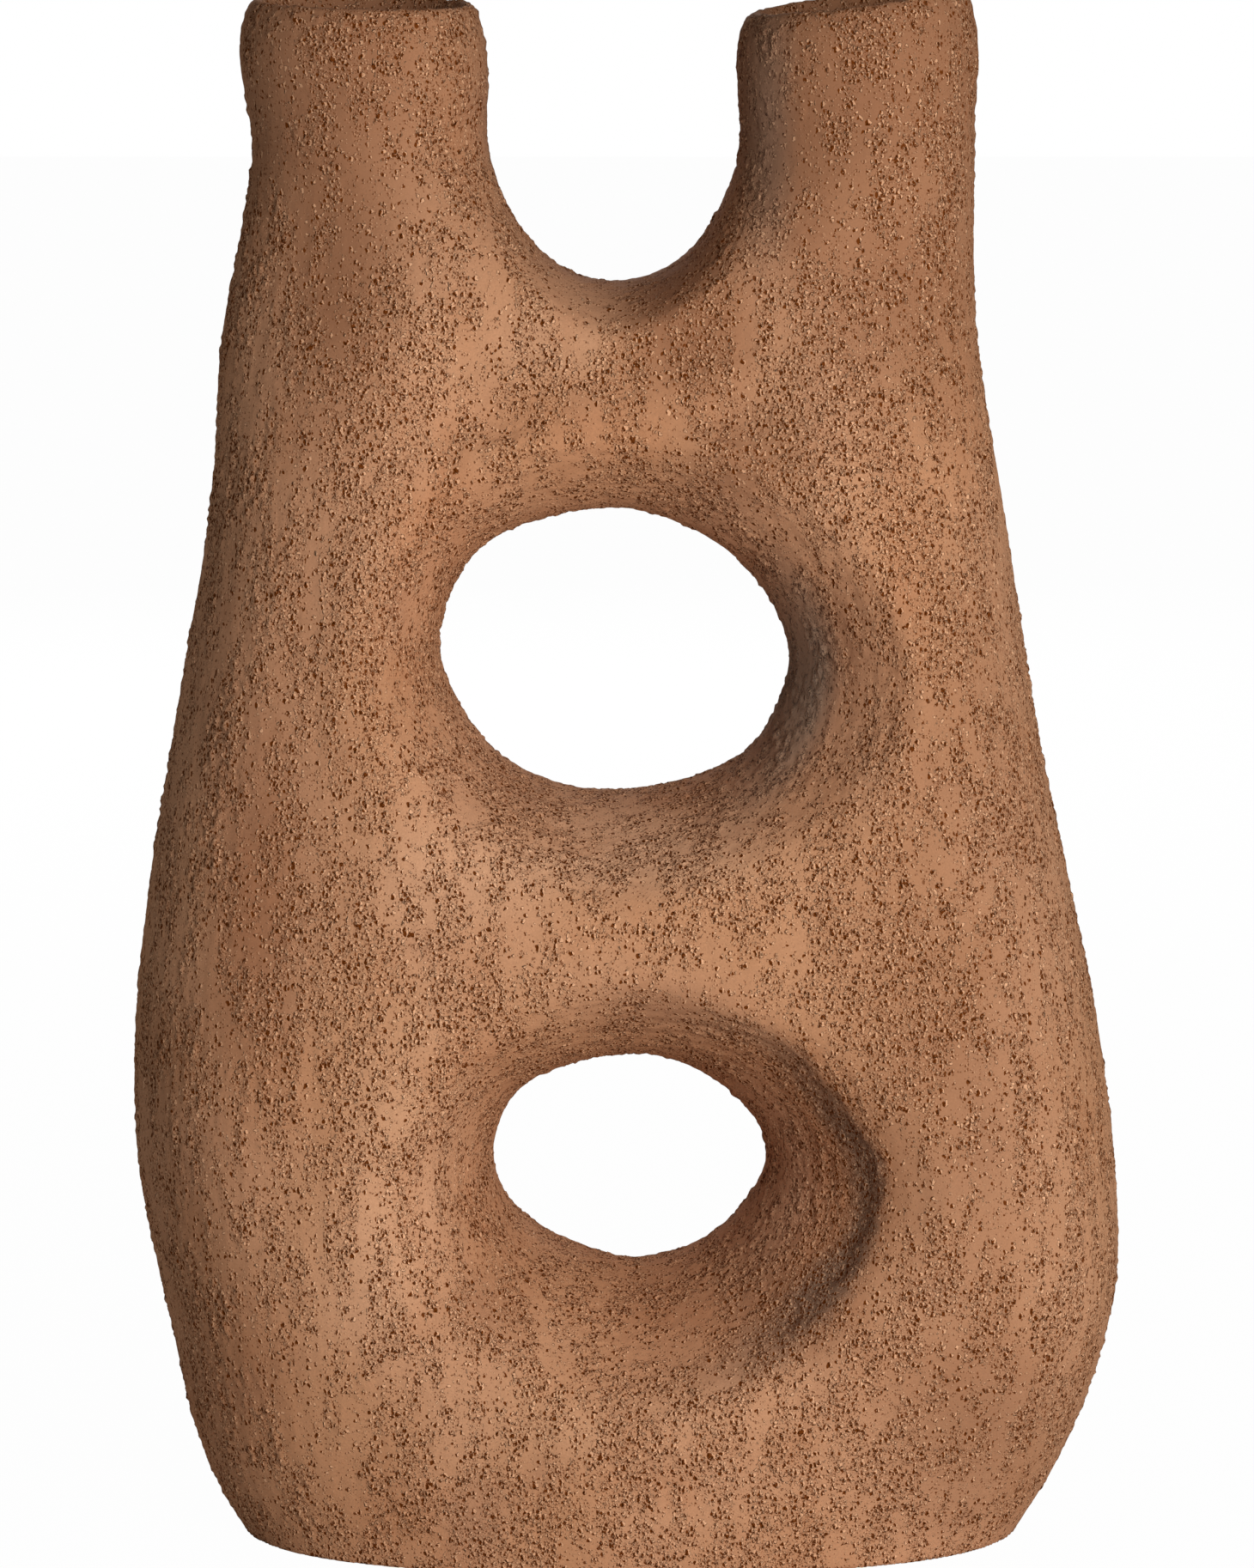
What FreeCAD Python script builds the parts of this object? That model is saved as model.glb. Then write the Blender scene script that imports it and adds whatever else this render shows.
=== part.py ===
import FreeCAD
import Part

import math
import os
from collections import namedtuple

from FreeCAD import Vector

# A hand-built stoneware vase: a flattened hollow body with two eyes right through it and two necks.
# It is made as the clay sections that are luted together on the bench, from the base slab up to the lips.
# Millimetres. +Z is up, the vase stands on z = 0, the front faces -Y and +X is the right seen from the front.

# Whole vase
overall_height = 404.0  # table to the top of the higher lip
overall_width = 258.0  # across the belly
body_depth = 124.0  # front to back through the belly, before the eyes are pressed in
wall = 9.0  # clay, all the way round
floor_thickness = 12.0  # base slab

# Lower eye: the clear hole at its throat, halfway through the vase
lower_eye_share = 0.2445  # height of its centre, as a share of the overall height
lower_eye_tall = 56.8
lower_eye_width = 70.8
lower_eye_x = 0.9
lower_eye_flare_left = 20.0  # how much wider the mouth is than the throat
lower_eye_flare_right = 32.0
lower_eye_flare_top = 22.0
lower_eye_flare_bottom = 22.0
lower_eye_top_fullness = 0.71  # half width towards the top, as a share of the widest; an ellipse has 0.71
lower_eye_bottom_fullness = 0.66
lower_eye_top_shift = -2.4  # sideways shift of the upper half
lower_eye_bottom_shift = -0.3

# Upper eye
upper_eye_share = 0.574
upper_eye_tall = 75.4
upper_eye_width = 89.7
upper_eye_x = -3.3
upper_eye_flare_left = 15.0
upper_eye_flare_right = 25.0
upper_eye_flare_top = 23.0
upper_eye_flare_bottom = 15.0
upper_eye_top_fullness = 0.71
upper_eye_bottom_fullness = 0.70
upper_eye_top_shift = -2.8
upper_eye_bottom_shift = 2.0

# Notch between the necks
notch_share = 0.8122  # height of its lowest point
notch_flare = 9.0  # how far it rolls over to the front and back
notch_fullness = 0.65

# Necks
neck_share = 0.8886  # height of the seam at their foot
lip_share = 0.968  # height of the seam under the lips
left_neck_share = -0.508  # place of the neck across the vase, as a share of the half width
left_neck_diameter = 61.6
left_neck_lean = -1.7  # sideways shift from the foot of the neck to its lip
left_lip_swell = 0.55  # how far the lip stands proud of the neck
left_lip_drop = 3.5  # how much lower this lip is than the higher one
left_lip_dip = 0.8  # how much lower the lip is on the side of the notch
right_neck_share = 0.4527
right_neck_diameter = 61.0
right_neck_lean = 0.6
right_lip_swell = 0.15
right_lip_drop = 0.0
right_lip_dip = 7.0

# How the clay is rounded
corner_share = 0.87  # where the plan turns from the front to the sides, as a share of the half width
mouth_share = 0.86  # depth at an eye's mouth, as a share of the unbroken body's
bridge_share = 0.3  # where the front divides above and below the eyes, as a share of the half width

# Rows of the skin's net, from the table upwards. Each seam between sections lies on a row of even height.
(FOOT, FLOOR, HEEL, LOWER_SILL, LOWER_EYE, LOWER_LINTEL, WAIST, UPPER_SILL, UPPER_EYE, UPPER_LINTEL,
 SHOULDER, NOTCH_SILL, NECK, NECK_MIDDLE, LIP, CREST) = range(16)
SEAM_ROWS = (FLOOR, HEEL, LOWER_EYE, WAIST, UPPER_EYE, SHOULDER, NECK, LIP)

# Body outline at the rows below the necks: left and right as shares of half the overall width, depth as a share
# of half the body's depth, and square as the exponent of the plan (2 is an ellipse, more is boxier)
Outline = namedtuple("Outline", "left right depth square")
outlines = {
    FOOT: Outline(left=0.780, right=0.794, depth=0.855, square=2.25),
    FLOOR: Outline(left=0.837, right=0.853, depth=0.895, square=2.3),
    HEEL: Outline(left=0.887, right=0.919, depth=0.943, square=2.5),
    LOWER_SILL: Outline(left=0.941, right=0.9915, depth=0.992, square=2.75),
    LOWER_EYE: Outline(left=0.9925, right=0.9895, depth=1.0, square=2.9),
    LOWER_LINTEL: Outline(left=0.990, right=0.954, depth=0.984, square=2.9),
    WAIST: Outline(left=0.968, right=0.904, depth=0.943, square=2.9),
    UPPER_SILL: Outline(left=0.935, right=0.8535, depth=0.887, square=2.9),
    UPPER_EYE: Outline(left=0.882, right=0.802, depth=0.830, square=2.8),
    UPPER_LINTEL: Outline(left=0.827, right=0.747, depth=0.766, square=2.7),
    SHOULDER: Outline(left=0.812, right=0.705, depth=0.693, square=2.6),
    NOTCH_SILL: Outline(left=0.781, right=0.6905, depth=0.605, square=2.4),
}
# Depth midway between the legs where it is less than the full depth, as a share of it
web_shares = {HEEL: 0.985, WAIST: 0.94, SHOULDER: 0.78}
outline_sizes = {"left": overall_width / 2, "right": overall_width / 2, "depth": body_depth / 2, "square": 1.0}

# Columns of the net: 0 to 15 round the body from its left side over the front, then the throat of an eye.
BODY_LOOP = list(range(16))
COLUMNS = len(BODY_LOOP)
MIDDLE = COLUMNS // 4
RIGHT_SIDE = COLUMNS // 2
THROAT_LEFT, THROAT_MIDDLE, THROAT_RIGHT = "throat left", "throat middle", "throat right"
LEFT_LOOP = [0, 1, 2, 3, THROAT_LEFT, 13, 14, 15]
RIGHT_LOOP = [8, 7, 6, 5, THROAT_RIGHT, 11, 10, 9]
THROAT_BESIDE = {3: THROAT_LEFT, MIDDLE: THROAT_MIDDLE, 5: THROAT_RIGHT}
TWO_LOOP_ROWS = (LOWER_EYE, UPPER_EYE, NECK, NECK_MIDDLE, LIP, CREST)

Neck = namedtuple("Neck", "x radius lean lip_swell lip_drop lip_dip")
left_neck = Neck(left_neck_share * overall_width / 2, left_neck_diameter / 2, left_neck_lean,
                 left_lip_swell, left_lip_drop, left_lip_dip)
right_neck = Neck(right_neck_share * overall_width / 2, right_neck_diameter / 2, right_neck_lean,
                  right_lip_swell, right_lip_drop, right_lip_dip)

DIAGONAL = math.sqrt(0.5)


class Eye:
    """An opening through the body, given by its throat and by how far its mouths flare."""

    def __init__(self, x, height, width, tall, side_flares, end_flares, fullness, shifts):
        self.x = x
        self.height = height
        self.half_width = width / 2
        self.half_tall = tall / 2
        self.side_flares = side_flares  # left, right
        self.end_flares = end_flares  # bottom, top
        self.fullness = fullness  # bottom, top
        self.shifts = shifts  # bottom, top

    def place(self, side, level, at_mouth):
        """x and height of a point: side is -1, 0 or 1 from left to right, level likewise upwards."""
        half_width, half_tall = self.half_width, self.half_tall
        if at_mouth:
            half_width += self.side_flares[side > 0]
            half_tall += self.end_flares[level > 0]
        if side and level:
            top = level > 0
            return (self.x + self.shifts[top] + side * self.fullness[top] * half_width,
                    self.height + level * DIAGONAL * half_tall)
        return self.x + side * half_width, self.height + level * half_tall

    def row_height(self, level):
        """Height of the row of the net along the bottom, middle or top of the eye."""
        return self.place(-1, level, at_mouth=True)[1]

    def mouth_end(self, level):
        """Height of the mouth's lowest or highest point."""
        return self.place(0, level, at_mouth=True)[1]


lower_eye = Eye(
    lower_eye_x, lower_eye_share * overall_height, lower_eye_width, lower_eye_tall,
    (lower_eye_flare_left, lower_eye_flare_right), (lower_eye_flare_bottom, lower_eye_flare_top),
    (lower_eye_bottom_fullness, lower_eye_top_fullness), (lower_eye_bottom_shift, lower_eye_top_shift))
upper_eye = Eye(
    upper_eye_x, upper_eye_share * overall_height, upper_eye_width, upper_eye_tall,
    (upper_eye_flare_left, upper_eye_flare_right), (upper_eye_flare_bottom, upper_eye_flare_top),
    (upper_eye_bottom_fullness, upper_eye_top_fullness), (upper_eye_bottom_shift, upper_eye_top_shift))
notch_left = left_neck.x + left_neck.radius
notch_right = right_neck.x - right_neck.radius
neck_seam = neck_share * overall_height
lip_seam = lip_share * overall_height
notch_depth = neck_seam - notch_share * overall_height
notch = Eye(
    (notch_left + notch_right) / 2, neck_seam, notch_right - notch_left, 2 * notch_depth,
    (notch_flare, notch_flare), (notch_flare, notch_flare), (notch_fullness, notch_fullness), (0.0, 0.0))

heights = {
    FOOT: 0.0,
    FLOOR: floor_thickness,
    HEEL: (floor_thickness + lower_eye.mouth_end(-1)) / 2,
    LOWER_SILL: lower_eye.row_height(-1),
    LOWER_EYE: lower_eye.height,
    LOWER_LINTEL: lower_eye.row_height(1),
    WAIST: (lower_eye.mouth_end(1) + upper_eye.mouth_end(-1)) / 2,
    UPPER_SILL: upper_eye.row_height(-1),
    UPPER_EYE: upper_eye.height,
    UPPER_LINTEL: upper_eye.row_height(1),
    SHOULDER: (upper_eye.mouth_end(1) + notch.mouth_end(-1)) / 2,
    NOTCH_SILL: notch.row_height(-1),
    NECK: neck_seam,
    NECK_MIDDLE: (neck_seam + lip_seam) / 2,
    LIP: lip_seam,
}


def outline(field, height):
    """A size of the body's outline at a height: a smooth curve through its rows."""
    rows = list(outlines)

    def value(row):
        return getattr(outlines[row], field) * outline_sizes[field]

    def slope(row):
        below, above = max(row - 1, rows[0]), min(row + 1, rows[-1])
        return (value(above) - value(below)) / (heights[above] - heights[below])

    low = max(row for row in rows[:-1] if heights[row] <= height)
    high = low + 1
    span = heights[high] - heights[low]
    t = (height - heights[low]) / span
    return (value(low) * (1 + 2 * t) * (1 - t) ** 2 + value(high) * (3 - 2 * t) * t ** 2
            + slope(low) * span * t * (1 - t) ** 2 - slope(high) * span * (1 - t) * t ** 2)


def side_reach(height):
    """The body's centre line and half width at a height."""
    left, right = -outline("left", height), outline("right", height)
    return (left + right) / 2, (right - left) / 2


def front(x, height, share=1.0):
    """The point of the unbroken front at x and a height, or at a share of its depth."""
    centre, half = side_reach(height)
    across = min(abs(x - centre) / half, 1.0)
    square = outline("square", height)
    depth = outline("depth", height) * (1 - across ** square) ** (1 / square)
    return Vector(x, -share * depth, height)


# The net: one point of the outer skin for each row and column
outer = {}


def set_front(row, column, point):
    """Puts a point in the net with its mirror image at the back."""
    outer[row, column] = point
    if column in range(1, RIGHT_SIDE):
        outer[row, COLUMNS - column] = Vector(point.x, -point.y, point.z)


def set_side_columns(row, left_mouth, right_mouth):
    """The sides of a row, as far as the columns next to the mouth of an eye or to the bridge."""
    height = heights[row]
    centre, half = side_reach(height)
    for side, corner, shin, direction, mouth in ((0, 1, 2, -1, left_mouth), (8, 7, 6, 1, right_mouth)):
        corner_x = centre + direction * corner_share * half
        set_front(row, side, Vector(centre + direction * half, 0, height))
        set_front(row, corner, front(corner_x, height))
        set_front(row, shin, front((corner_x + mouth.x) / 2, height))


def body_row(row):
    """A row that goes right round the body."""
    centre, half = side_reach(heights[row])
    web = web_shares.get(row, 1.0)
    for column, share in ((3, -bridge_share), (MIDDLE, 0), (5, bridge_share)):
        set_front(row, column, front(centre + share * half, heights[row], web))
    set_side_columns(row, outer[row, 3], outer[row, 5])


def eye_row(row, eye, level):
    """The row along the bottom, middle or top of an eye. The middle row goes round each leg beside it."""
    for column, side in ((3, -1), (MIDDLE, 0), (5, 1)):
        if side or level:
            set_front(row, column, front(*eye.place(side, level, at_mouth=True), mouth_share))
            x, height = eye.place(side, level, at_mouth=False)
            outer[row, THROAT_BESIDE[column]] = Vector(x, 0, height)
    set_side_columns(row, outer[row, 3], outer[row, 5])


def neck_row(row, share):
    """A round row of both necks, a share of the way from foot to lip, or the crest of the lips."""
    for neck, loop, inward in ((left_neck, LEFT_LOOP, 1), (right_neck, RIGHT_LOOP, -1)):
        radius = neck.radius + share * neck.lip_swell
        if row == CREST:
            radius -= wall / 2
        for step, column in enumerate(loop):
            angle = 2 * math.pi * step / len(loop)
            towards_notch = -math.cos(angle)
            x = neck.x + share * neck.lean + inward * towards_notch * radius
            dip = neck.lip_drop + neck.lip_dip * (1 + towards_notch) / 2
            z = overall_height - dip if row == CREST else heights[row]
            outer[row, column] = Vector(x, -math.sin(angle) * radius, z)


for row in (FOOT, FLOOR, HEEL, WAIST, SHOULDER):
    body_row(row)
for eye, sill in ((lower_eye, LOWER_SILL), (upper_eye, UPPER_SILL)):
    for step, level in enumerate((-1, 0, 1)):
        eye_row(sill + step, eye, level)
eye_row(NOTCH_SILL, notch, -1)
for row, share in ((NECK, 0.0), (NECK_MIDDLE, 0.5), (LIP, 1.0), (CREST, 1.0)):
    neck_row(row, share)


def outer_faces():
    """The four-sided faces of the outer net, each with the row that it starts from."""
    faces = []
    for row in range(FOOT, CREST):
        for column in BODY_LOOP:
            beside = (column + 1) % COLUMNS
            corners = [(row, column), (row, beside), (row + 1, beside), (row + 1, column)]
            if all(key in outer for key in corners):
                faces.append((row, corners))
        if row in TWO_LOOP_ROWS or row + 1 in TWO_LOOP_ROWS:
            for column, throat, right in ((3, THROAT_LEFT, False), (5, THROAT_RIGHT, True)):
                for mouth, back in ((column, False), (COLUMNS - column, True)):
                    corners = [(row, mouth), (row, throat), (row + 1, throat), (row + 1, mouth)]
                    faces.append((row, corners[::-1] if right != back else corners))
    for row, below in ((LOWER_SILL, True), (LOWER_LINTEL, False), (UPPER_SILL, True), (UPPER_LINTEL, False),
                       (NOTCH_SILL, True)):
        for column in (3, MIDDLE):
            for back in (False, True):
                mouths = [COLUMNS - column, COLUMNS - column - 1] if back else [column, column + 1]
                throats = [THROAT_BESIDE[column + 1], THROAT_BESIDE[column]]
                corners = [(row, key) for key in mouths + throats]
                faces.append((row - 1 if below else row, corners[::-1] if back == below else corners))
    return faces


def vertex_normals(faces):
    """Outward normal of the net at each of its points."""
    normals = {key: Vector() for key in outer}
    for _, (a, b, c, d) in faces:
        normal = (outer[c] - outer[a]).cross(outer[d] - outer[b]).normalize()
        for key in (a, b, c, d):
            normals[key] += normal
    return {key: normal.normalize() for key, normal in normals.items()}


def inner_skin(faces):
    """The points and faces of the inner skin, a wall inside the outer one. The crest of a lip is in both."""
    normals = vertex_normals(faces)
    points = {}
    for (row, column), point in outer.items():
        normal = normals[row, column]
        if row in SEAM_ROWS:
            normal = Vector(normal.x, normal.y, 0).normalize()
        if FLOOR <= row < CREST:
            points["inner", row, column] = point - normal * wall

    def inside(key):
        return key if key[0] == CREST else ("inner",) + key

    turned = [(row, [inside(key) for key in corners[::-1]]) for row, corners in faces if row >= FLOOR]
    return points, turned


class Skin:
    """A smooth skin of bicubic patches, one for each face of a net, that passes through the net's points."""

    def __init__(self, targets, faces):
        self.targets = targets
        self.cage = {key: Vector(point) for key, point in targets.items()}
        self.corners_at = {key: [] for key in targets}
        self.faces_on = {}
        for face in faces:
            for i, key in enumerate(face):
                after, across, before = (face[(i + k) % 4] for k in (1, 2, 3))
                self.corners_at[key].append((after, before, across))
                self.faces_on.setdefault(frozenset((key, after)), []).append(face)
        self.rim = {}
        for edge, sharing in self.faces_on.items():
            if len(sharing) == 1:
                for key in edge:
                    self.rim.setdefault(key, []).extend(edge - {key})
        self.fit()

    def fit(self, rounds=400, close=1e-9):
        """Moves the cage until the skin passes through the points of the net."""
        for _ in range(rounds):
            misses = {key: point - self.corner(key) for key, point in self.targets.items()}
            for key, miss in misses.items():
                self.cage[key] += miss
            if max(miss.Length for miss in misses.values()) < close:
                break

    def inside(self, key, after, before, across):
        """The patch's inner pole beside one of its corners."""
        n = 4 if key in self.rim else len(self.corners_at[key])
        near = (self.cage[after] + self.cage[before]) * 2 + self.cage[across]
        return (self.cage[key] * n + near) * (1 / (n + 5))

    def corner(self, key):
        """Where the skin passes at a point of the net."""
        if key in self.rim:
            one, other = self.rim[key]
            return (self.cage[one] + self.cage[key] * 4 + self.cage[other]) * (1 / 6)
        around = self.corners_at[key]
        return sum((self.inside(key, *corner) for corner in around), Vector()) * (1 / len(around))

    def beside(self, key, end):
        """The pole beside a corner, along the edge towards end."""
        if len(self.faces_on[frozenset((key, end))]) == 1:
            return (self.cage[key] * 2 + self.cage[end]) * (1 / 3)
        pair = [corner for corner in self.corners_at[key] if end in corner[:2]]
        return (self.inside(key, *pair[0]) + self.inside(key, *pair[1])) * 0.5

    def edge(self, start, end):
        """The curve of the skin between two neighbours of the net."""
        curve = Part.BezierCurve()
        beside_start, beside_end = self.beside(start, end), self.beside(end, start)
        curve.setPoles([self.corner(start), beside_start, beside_end, self.corner(end)])
        return curve.toShape()

    def loop(self, keys):
        """The closed wire of the skin through a ring of its points."""
        return Part.Wire([self.edge(key, keys[(i + 1) % len(keys)]) for i, key in enumerate(keys)])

    def patch(self, face):
        """The smooth face that stands for one face of the net."""
        a, b, c, d = face
        poles = [
            [self.corner(a), self.beside(a, b), self.beside(b, a), self.corner(b)],
            [self.beside(a, d), self.inside(a, b, d, c), self.inside(b, c, a, d), self.beside(b, c)],
            [self.beside(d, a), self.inside(d, a, c, b), self.inside(c, d, b, a), self.beside(c, b)],
            [self.corner(d), self.beside(d, c), self.beside(c, d), self.corner(c)],
        ]
        surface = Part.BezierSurface()
        surface.increase(3, 3)
        for u, line in enumerate(poles, 1):
            for v, pole in enumerate(line, 1):
                surface.setPole(u, v, pole)
        return surface.toShape()


wall_faces = outer_faces()
inner_points, inner_faces = inner_skin(wall_faces)
skin_faces = wall_faces + inner_faces
skin = Skin({**outer, **inner_points}, [corners for _, corners in skin_faces])


def seam_faces(row, loops):
    """The flat faces of a seam: one ring of wall for each loop of columns."""
    rings = []
    for loop in loops:
        outside = skin.loop([(row, column) for column in loop])
        inside = skin.loop([("inner", row, column) for column in loop])
        rings.append(Part.makeFace([outside, inside], "Part::FaceMakerBullseye"))
    return rings


def closed_solid(faces):
    """One solid from the faces that bound it."""
    shell = Part.makeShell(faces)
    shell.sewShape()
    solid = Part.makeSolid(shell)
    if solid.Volume < 0:
        solid.reverse()
    return solid


def section(first_row, last_row, loop=None):
    """A section of the hollow wall between two seams, or one neck's share of it."""
    members = [corners for row, corners in skin_faces if first_row <= row < last_row]
    if loop:
        members = [corners for corners in members if all(key[-1] in loop for key in corners)]
    faces = [skin.patch(corners) for corners in members]
    for row in (first_row, last_row):
        if row == CREST:
            continue
        row_loops = [LEFT_LOOP, RIGHT_LOOP] if row in TWO_LOOP_ROWS else [BODY_LOOP]
        faces += seam_faces(row, [loop] if loop else row_loops)
    return closed_solid(faces)


def base_slab():
    """The solid slab that the vase stands on, as wide at the top as the wall that stands on it."""
    edge = [skin.patch(corners) for row, corners in wall_faces if row == FOOT]
    flats = [Part.Face(skin.loop([(row, column) for column in BODY_LOOP])) for row in (FOOT, FLOOR)]
    return closed_solid(edge + flats)


pieces = {
    "base_slab": base_slab(),
    "foot_wall": section(FLOOR, HEEL),
    "lower_cradle": section(HEEL, LOWER_EYE),
    "lower_arch": section(LOWER_EYE, WAIST),
    "upper_cradle": section(WAIST, UPPER_EYE),
    "upper_arch": section(UPPER_EYE, SHOULDER),
    "saddle": section(SHOULDER, NECK),
    "left_neck": section(NECK, LIP, LEFT_LOOP),
    "right_neck": section(NECK, LIP, RIGHT_LOOP),
    "left_lip": section(LIP, CREST, LEFT_LOOP),
    "right_lip": section(LIP, CREST, RIGHT_LOOP),
}

os.makedirs("parts", exist_ok=True)
for name, solid in pieces.items():
    box = solid.BoundBox
    print(f"{name}: valid {solid.isValid()}, {solid.Volume / 1000:.1f} ml of clay, "
          f"{box.XLength:.1f} x {box.YLength:.1f} x {box.ZLength:.1f} mm, from z {box.ZMin:.2f}")
    solid.exportStep(f"parts/{name}.step")
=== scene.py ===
# %% [markdown]
# # A hand-built stoneware vase
# The vase in the photograph is a flattened hollow body with two eyes right through it and two open necks.
# It is built from clay sections that were luted together and smoothed over, so no joint shows on the outside.
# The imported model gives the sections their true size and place. Here they get the skin of worked, gritty clay.

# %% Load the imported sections
import math
from collections import namedtuple

import bmesh
import bpy
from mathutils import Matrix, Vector, noise


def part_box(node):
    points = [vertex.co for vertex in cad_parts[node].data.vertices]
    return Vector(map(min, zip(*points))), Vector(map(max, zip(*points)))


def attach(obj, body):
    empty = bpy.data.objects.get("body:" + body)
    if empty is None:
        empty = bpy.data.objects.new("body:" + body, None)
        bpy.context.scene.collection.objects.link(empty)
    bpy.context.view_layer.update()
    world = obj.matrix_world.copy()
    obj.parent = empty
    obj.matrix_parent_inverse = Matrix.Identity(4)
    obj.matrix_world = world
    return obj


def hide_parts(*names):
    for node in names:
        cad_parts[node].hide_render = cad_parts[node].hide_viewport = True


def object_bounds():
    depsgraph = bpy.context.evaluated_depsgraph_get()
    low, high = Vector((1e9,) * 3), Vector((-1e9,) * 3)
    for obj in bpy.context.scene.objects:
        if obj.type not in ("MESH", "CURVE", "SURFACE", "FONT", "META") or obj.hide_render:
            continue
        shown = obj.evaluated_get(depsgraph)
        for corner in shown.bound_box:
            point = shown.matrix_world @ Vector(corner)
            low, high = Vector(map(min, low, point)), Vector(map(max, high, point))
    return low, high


MM = 1000  # mm in a metre: the model is in metres, and the marks of the hand are given in mm

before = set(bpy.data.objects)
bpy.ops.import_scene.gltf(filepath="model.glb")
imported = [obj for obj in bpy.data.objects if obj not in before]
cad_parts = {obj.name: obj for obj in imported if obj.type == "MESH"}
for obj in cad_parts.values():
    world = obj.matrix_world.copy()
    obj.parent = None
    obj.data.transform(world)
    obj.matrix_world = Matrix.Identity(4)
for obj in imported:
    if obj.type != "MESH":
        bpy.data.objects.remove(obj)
cad_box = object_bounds()
print("sections:", ", ".join(sorted(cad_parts)))
print("whole vase, mm:", [round(MM * (high - low), 1) for low, high in zip(*cad_box)])

# %% [markdown]
# ## The camera
# The photograph was taken from in front, a little above the middle of the vase and from about two metres away,
# with a long lens. A camera whose sensor fits the picture's height is easy to reason about: the lens is then the
# only number that sets how much of the vase fills the frame.

# %% Set up the camera
LOOKS_DOWN = 9.7245  # degrees

scene = bpy.context.scene
camera_data = bpy.data.cameras.new("camera")
camera_data.sensor_fit = "VERTICAL"
camera_data.sensor_height = 24.0
camera_data.lens = 119.8
camera = bpy.data.objects.new("camera", camera_data)
camera.location = (0.0, -2.0, 0.54)
camera.rotation_euler = (math.radians(90 - LOOKS_DOWN), 0.0, 0.0)
scene.collection.objects.link(camera)
scene.camera = camera
print("camera at", tuple(camera.location), "with a lens of", camera_data.lens, "mm")

# %% [markdown]
# ## Clay blanks
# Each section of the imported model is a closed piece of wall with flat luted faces. To work the outside in one go,
# as the potter did after luting, the sections are joined into one lump. The luted faces come off, and so does the
# inner skin of the lower sections, because their inside can't be seen. The saddle, necks and lips stay hollow.

# %% Copy a section and find its outer and inner skin
SAME_POINT = 1e-6
SEAM_TOLERANCE = 1e-5


def clay_copy(name):
    """A copy of a packed section as one joined-up mesh."""
    section = bmesh.new()
    section.from_mesh(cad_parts[name].data)
    bmesh.ops.remove_doubles(section, verts=section.verts, dist=SAME_POINT)
    return section


def open_seams(section, name):
    """Takes the flat luted faces off a section, so that its outer and inner skins come apart."""
    low, high = (corner.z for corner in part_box(name))
    flat = []
    for face in section.faces:
        heights = [vert.co.z for vert in face.verts]
        for seam in (low, high):
            if seam > SEAM_TOLERANCE and all(abs(z - seam) < SEAM_TOLERANCE for z in heights):
                flat.append(face)
    bmesh.ops.delete(section, geom=flat, context="FACES")


def skins(section):
    """The separate skins of a section, the one that spreads widest first."""
    waiting = set(section.faces)
    found = []
    while waiting:
        start = waiting.pop()
        skin = [start]
        for face in skin:
            for edge in face.edges:
                for beside in edge.link_faces:
                    if beside in waiting:
                        waiting.remove(beside)
                        skin.append(beside)
        found.append(skin)

    def spread(skin):
        across = [vert.co.x for face in skin for vert in face.verts]
        return max(across) - min(across)

    return sorted(found, key=spread, reverse=True)


# %% Join the blanks into one lump
SOLID = ("base_slab", "foot_wall", "lower_cradle", "lower_arch", "upper_cradle", "upper_arch")
HOLLOW = ("saddle", "left_neck", "right_neck", "left_lip", "right_lip")

lump_mesh = bpy.data.meshes.new("clay_lump")
lump = bmesh.new()
for name in SOLID + HOLLOW:
    blank = clay_copy(name)
    open_seams(blank, name)
    inner = skins(blank)[1:]
    if name in SOLID:
        bmesh.ops.delete(blank, geom=[face for skin in inner for face in skin], context="FACES")
    if name == "saddle":
        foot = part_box(name)[0].z + SEAM_TOLERANCE
        rim = {edge for face in inner[0] for edge in face.edges if edge.is_boundary}
        bmesh.ops.holes_fill(blank, edges=[edge for edge in rim if edge.verts[0].co.z < foot], sides=0)
    blank.to_mesh(lump_mesh)
    blank.free()
    lump.from_mesh(lump_mesh)
lump.to_mesh(lump_mesh)
print("lump:", len(lump.faces), "faces from", len(SOLID + HOLLOW), "blanks")
lump.free()

# %% [markdown]
# ## One even skin
# Hand marks need a skin of small, even faces. A voxel remesh gives that: it fills the lump with tiny cubes and lays
# a new surface round them, which also melts the luted joints away, as a thumb does. A little smoothing takes the
# steps of the cubes out.

# %% Remesh the lump
voxel = 0.0009

lump_object = bpy.data.objects.new("clay_lump", lump_mesh)
scene.collection.objects.link(lump_object)
remesh = lump_object.modifiers.new("even_skin", "REMESH")
remesh.mode = "VOXEL"
remesh.voxel_size = voxel
remesh.adaptivity = 0.0
settle = lump_object.modifiers.new("settle", "SMOOTH")
settle.factor = 0.5
settle.iterations = 3
shaped = lump_object.evaluated_get(bpy.context.evaluated_depsgraph_get())
clay = bmesh.new()
clay.from_mesh(shaped.to_mesh())
shaped.to_mesh_clear()
bpy.data.objects.remove(lump_object)
bpy.data.meshes.remove(lump_mesh)
clay.normal_update()
print("even skin:", len(clay.faces), "faces of about", voxel * MM, "mm")

# %% [markdown]
# ## Hand marks
# The real clay is nowhere even. Sculpting it by hand would give one such skin, but here every mark is a height in
# millimetres along the skin, worked out from the place of each point, so it is the same on every run and easy to
# change. A hump, a ramp and a wobble of noise are enough to build them all from.

# %% Simple shapes to build marks from
def hump(value, middle, half_width):
    """A smooth hump, 1 at the middle and 0 from half_width away."""
    away = abs(value - middle) / half_width
    return (1 - away * away) ** 2 if away < 1 else 0.0


def ramp(value, start, end):
    """A smooth step from 0 at start to 1 at end."""
    t = min(max((value - start) / (end - start), 0.0), 1.0)
    return t * t * (3 - 2 * t)


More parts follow.
